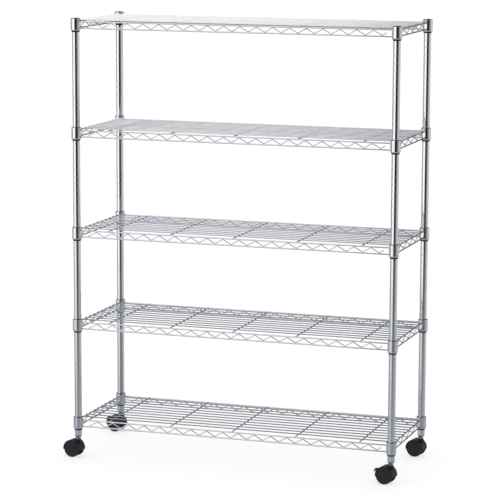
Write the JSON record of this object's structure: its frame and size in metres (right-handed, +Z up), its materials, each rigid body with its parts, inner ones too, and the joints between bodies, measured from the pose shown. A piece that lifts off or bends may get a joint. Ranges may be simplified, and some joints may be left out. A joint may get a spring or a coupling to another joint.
{
  "type": "wire shelving rack",
  "caption": "Open chromed wire shelving rack on swivel casters: welded wire shelves held on round posts by collars and split sleeves.",
  "frame": {"origin": "on the floor under the middle of the bounding box", "axes": "+X along the shelves, -Y is the front, +Z up"},
  "size_m": [1.2404, 0.4686, 1.5704],
  "materials": {
    "post_chrome": "bright chrome plating, slightly blue-grey",
    "wire_chrome": "bright chrome plated wire",
    "zinc_fitting": "satin plated steel",
    "sleeve_plastic": "black nylon",
    "cap_plastic": "black moulded plastic",
    "caster_plastic": "black nylon, lightly textured",
    "wheel_tread": "hard black nylon wheel"
  },
  "bodies": {
    "frame": {"post_front_left": "post_chrome", "post_cap_front_left": "cap_plastic", "post_insert_front_left": "zinc_fitting", "post_front_right": "post_chrome", "post_cap_front_right": "cap_plastic", "post_insert_front_right": "zinc_fitting", "post_rear_left": "post_chrome", "post_cap_rear_left": "cap_plastic", "post_insert_rear_left": "zinc_fitting", "post_rear_right": "post_chrome", "post_cap_rear_right": "cap_plastic", "post_insert_rear_right": "zinc_fitting", "shelf_1": "wire_chrome", "split_sleeve_1_front_left": "sleeve_plastic", "split_sleeve_1_front_right": "sleeve_plastic", "split_sleeve_1_rear_left": "sleeve_plastic", "split_sleeve_1_rear_right": "sleeve_plastic", "shelf_2": "wire_chrome", "split_sleeve_2_front_left": "sleeve_plastic", "split_sleeve_2_front_right": "sleeve_plastic", "split_sleeve_2_rear_left": "sleeve_plastic", "split_sleeve_2_rear_right": "sleeve_plastic", "shelf_3": "wire_chrome", "split_sleeve_3_front_left": "sleeve_plastic", "split_sleeve_3_front_right": "sleeve_plastic", "split_sleeve_3_rear_left": "sleeve_plastic", "split_sleeve_3_rear_right": "sleeve_plastic", "shelf_4": "wire_chrome", "split_sleeve_4_front_left": "sleeve_plastic", "split_sleeve_4_front_right": "sleeve_plastic", "split_sleeve_4_rear_left": "sleeve_plastic", "split_sleeve_4_rear_right": "sleeve_plastic", "shelf_5": "wire_chrome", "split_sleeve_5_front_left": "sleeve_plastic", "split_sleeve_5_front_right": "sleeve_plastic", "split_sleeve_5_rear_left": "sleeve_plastic", "split_sleeve_5_rear_right": "sleeve_plastic", "caster_stem_front_left": "zinc_fitting", "caster_stem_front_right": "zinc_fitting", "caster_stem_rear_left": "zinc_fitting", "caster_stem_rear_right": "zinc_fitting"},
    "swivel_front_left": {"caster_hood_front_left": "caster_plastic", "caster_axle_front_left": "zinc_fitting"},
    "wheel_front_left_a": {"caster_wheel_front_left_a": "wheel_tread"},
    "wheel_front_left_b": {"caster_wheel_front_left_b": "wheel_tread"},
    "swivel_front_right": {"caster_hood_front_right": "caster_plastic", "caster_axle_front_right": "zinc_fitting"},
    "wheel_front_right_a": {"caster_wheel_front_right_a": "wheel_tread"},
    "wheel_front_right_b": {"caster_wheel_front_right_b": "wheel_tread"},
    "brake_front_right": {"brake_lever_front_right": "caster_plastic"},
    "swivel_rear_left": {"caster_hood_rear_left": "caster_plastic", "caster_axle_rear_left": "zinc_fitting"},
    "wheel_rear_left_a": {"caster_wheel_rear_left_a": "wheel_tread"},
    "wheel_rear_left_b": {"caster_wheel_rear_left_b": "wheel_tread"},
    "brake_rear_left": {"brake_lever_rear_left": "caster_plastic"},
    "swivel_rear_right": {"caster_hood_rear_right": "caster_plastic", "caster_axle_rear_right": "zinc_fitting"},
    "wheel_rear_right_a": {"caster_wheel_rear_right_a": "wheel_tread"},
    "wheel_rear_right_b": {"caster_wheel_rear_right_b": "wheel_tread"}
  },
  "joints": [
    {"name": "swivel_front_left", "type": "hinge", "parent": "frame", "child": "swivel_front_left", "pos_m": [-0.55609, -0.21021, 0.05], "axis": [0, 0, 1], "continuous": true},
    {"name": "roll_front_left_a", "type": "hinge", "parent": "swivel_front_left", "child": "wheel_front_left_a", "pos_m": [-0.57431, -0.207, 0.03], "axis": [-0.1736, -0.9848, 0], "continuous": true},
    {"name": "roll_front_left_b", "type": "hinge", "parent": "swivel_front_left", "child": "wheel_front_left_b", "pos_m": [-0.57431, -0.207, 0.03], "axis": [-0.1736, -0.9848, 0], "continuous": true},
    {"name": "swivel_front_right", "type": "hinge", "parent": "frame", "child": "swivel_front_right", "pos_m": [0.60291, -0.21021, 0.05], "axis": [0, 0, 1], "continuous": true},
    {"name": "roll_front_right_a", "type": "hinge", "parent": "swivel_front_right", "child": "wheel_front_right_a", "pos_m": [0.58469, -0.207, 0.03], "axis": [-0.1736, -0.9848, 0], "continuous": true},
    {"name": "roll_front_right_b", "type": "hinge", "parent": "swivel_front_right", "child": "wheel_front_right_b", "pos_m": [0.58469, -0.207, 0.03], "axis": [-0.1736, -0.9848, 0], "continuous": true},
    {"name": "brake_front_right", "type": "hinge", "parent": "swivel_front_right", "child": "brake_front_right", "pos_m": [0.56446, -0.20343, 0.04334], "axis": [-0.1736, -0.9848, 0], "range_deg": [0, 24]},
    {"name": "swivel_rear_left", "type": "hinge", "parent": "frame", "child": "swivel_rear_left", "pos_m": [-0.55609, 0.20379, 0.05], "axis": [0, 0, 1], "continuous": true},
    {"name": "roll_rear_left_a", "type": "hinge", "parent": "swivel_rear_left", "child": "wheel_rear_left_a", "pos_m": [-0.57431, 0.207, 0.03], "axis": [-0.1736, -0.9848, 0], "continuous": true},
    {"name": "roll_rear_left_b", "type": "hinge", "parent": "swivel_rear_left", "child": "wheel_rear_left_b", "pos_m": [-0.57431, 0.207, 0.03], "axis": [-0.1736, -0.9848, 0], "continuous": true},
    {"name": "brake_rear_left", "type": "hinge", "parent": "swivel_rear_left", "child": "brake_rear_left", "pos_m": [-0.59454, 0.21057, 0.04334], "axis": [-0.1736, -0.9848, 0], "range_deg": [0, 24]},
    {"name": "swivel_rear_right", "type": "hinge", "parent": "frame", "child": "swivel_rear_right", "pos_m": [0.60291, 0.20379, 0.05], "axis": [0, 0, 1], "continuous": true},
    {"name": "roll_rear_right_a", "type": "hinge", "parent": "swivel_rear_right", "child": "wheel_rear_right_a", "pos_m": [0.58469, 0.207, 0.03], "axis": [-0.1736, -0.9848, 0], "continuous": true},
    {"name": "roll_rear_right_b", "type": "hinge", "parent": "swivel_rear_right", "child": "wheel_rear_right_b", "pos_m": [0.58469, 0.207, 0.03], "axis": [-0.1736, -0.9848, 0], "continuous": true}
  ]
}
